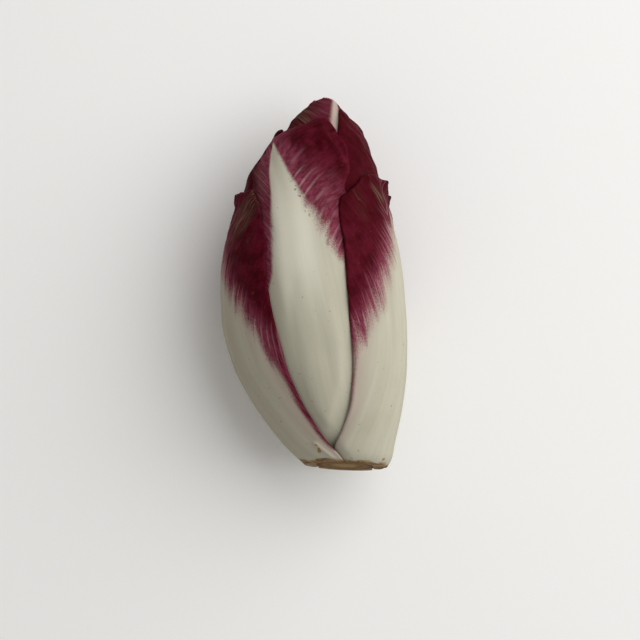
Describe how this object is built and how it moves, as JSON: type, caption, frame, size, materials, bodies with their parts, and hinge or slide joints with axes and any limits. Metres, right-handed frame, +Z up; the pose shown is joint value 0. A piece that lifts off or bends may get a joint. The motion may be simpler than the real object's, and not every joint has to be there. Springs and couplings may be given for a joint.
{
  "type": "red belgian endive",
  "caption": "Whole head of red Belgian endive lying on its side: a pointed bud of overlapping cream leaves with purple blades on a short stem cut flat.",
  "frame": {"origin": "on the surface that the head lies on, under the middle of its box", "axes": "+Z up, +Y from the cut base to the tip, +X to the right when seen from above with the tip away from the viewer"},
  "size_m": [0.065, 0.1314, 0.0548],
  "materials": {
    "outer_leaf": "waxy satin leaf, cream with purple upper edges",
    "inner_leaf": "waxy satin leaf, purple blade and cream midrib",
    "stem": "dry matte cut, tan with a browned rim"
  },
  "bodies": {
    "root": {"outer_leaf_left": "outer_leaf", "outer_leaf_right": "outer_leaf", "outer_leaf_under": "outer_leaf", "front_leaf": "outer_leaf", "second_leaf_left": "inner_leaf", "second_leaf_right": "inner_leaf", "second_leaf_front": "inner_leaf", "second_leaf_under": "inner_leaf", "inner_leaf_1": "inner_leaf", "inner_leaf_2": "inner_leaf", "inner_leaf_3": "inner_leaf", "inner_leaf_4": "inner_leaf", "inner_leaf_5": "inner_leaf", "inner_leaf_6": "inner_leaf", "stem_and_heart": "stem"}
  },
  "joints": []
}
